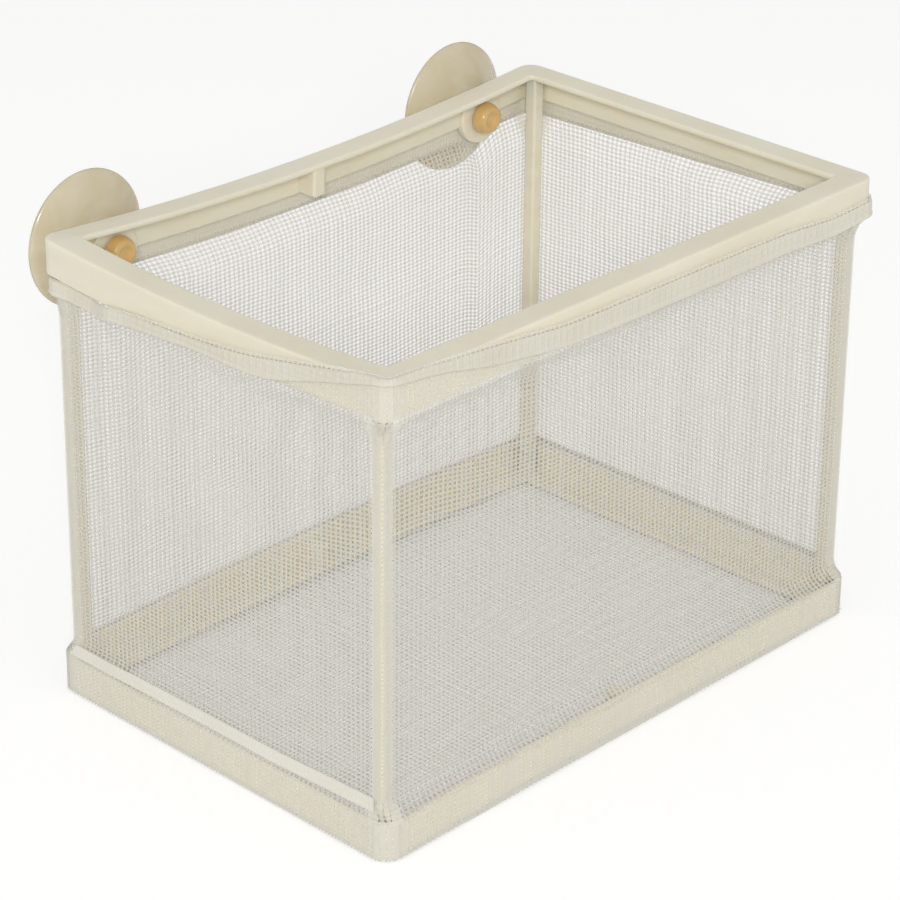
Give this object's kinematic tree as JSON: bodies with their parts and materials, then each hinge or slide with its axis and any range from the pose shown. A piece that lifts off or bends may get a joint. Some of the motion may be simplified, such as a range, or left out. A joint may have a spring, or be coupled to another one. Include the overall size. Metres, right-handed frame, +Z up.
{
  "type": "fish breeding box",
  "caption": "Rectangular net box with two moulded frames, corner posts, a fine mesh bag with an elastic hem, and rear suction cups; keeps young fish apart inside a tank.",
  "frame": {"origin": "middle of the netting floor's underside, on the box's plan centre", "axes": "+X along the long side, +Y towards the tank's glass that the suction cups hold, +Z up"},
  "size_m": [0.1728, 0.1262, 0.1298],
  "materials": {
    "cream_plastic": "satin moulded",
    "clear_amber_pvc": "smooth and clouded",
    "white_netting": "fine open mesh",
    "white_hem_tape": "closely knitted tape"
  },
  "bodies": {
    "box": {"bottom_frame": "cream_plastic", "top_frame": "cream_plastic", "post_left_front": "cream_plastic", "post_left_rear": "cream_plastic", "post_right_front": "cream_plastic", "post_right_rear": "cream_plastic", "net_front": "white_netting", "net_rear": "white_netting", "net_left": "white_netting", "net_right": "white_netting", "net_floor": "white_netting", "net_hem": "white_hem_tape", "hem_elastic": "white_hem_tape", "seam_left": "white_hem_tape", "seam_right": "white_hem_tape"},
    "cup_left": {"suction_cup_left": "clear_amber_pvc"},
    "cup_right": {"suction_cup_right": "clear_amber_pvc"}
  },
  "joints": [
    {"name": "cup_left_spin", "type": "hinge", "parent": "box", "child": "cup_left", "pos_m": [-0.0637, 0.0554, 0.1123], "axis": [0, 1, 0], "continuous": true},
    {"name": "cup_right_spin", "type": "hinge", "parent": "box", "child": "cup_right", "pos_m": [0.0637, 0.0554, 0.1123], "axis": [0, 1, 0], "continuous": true}
  ]
}
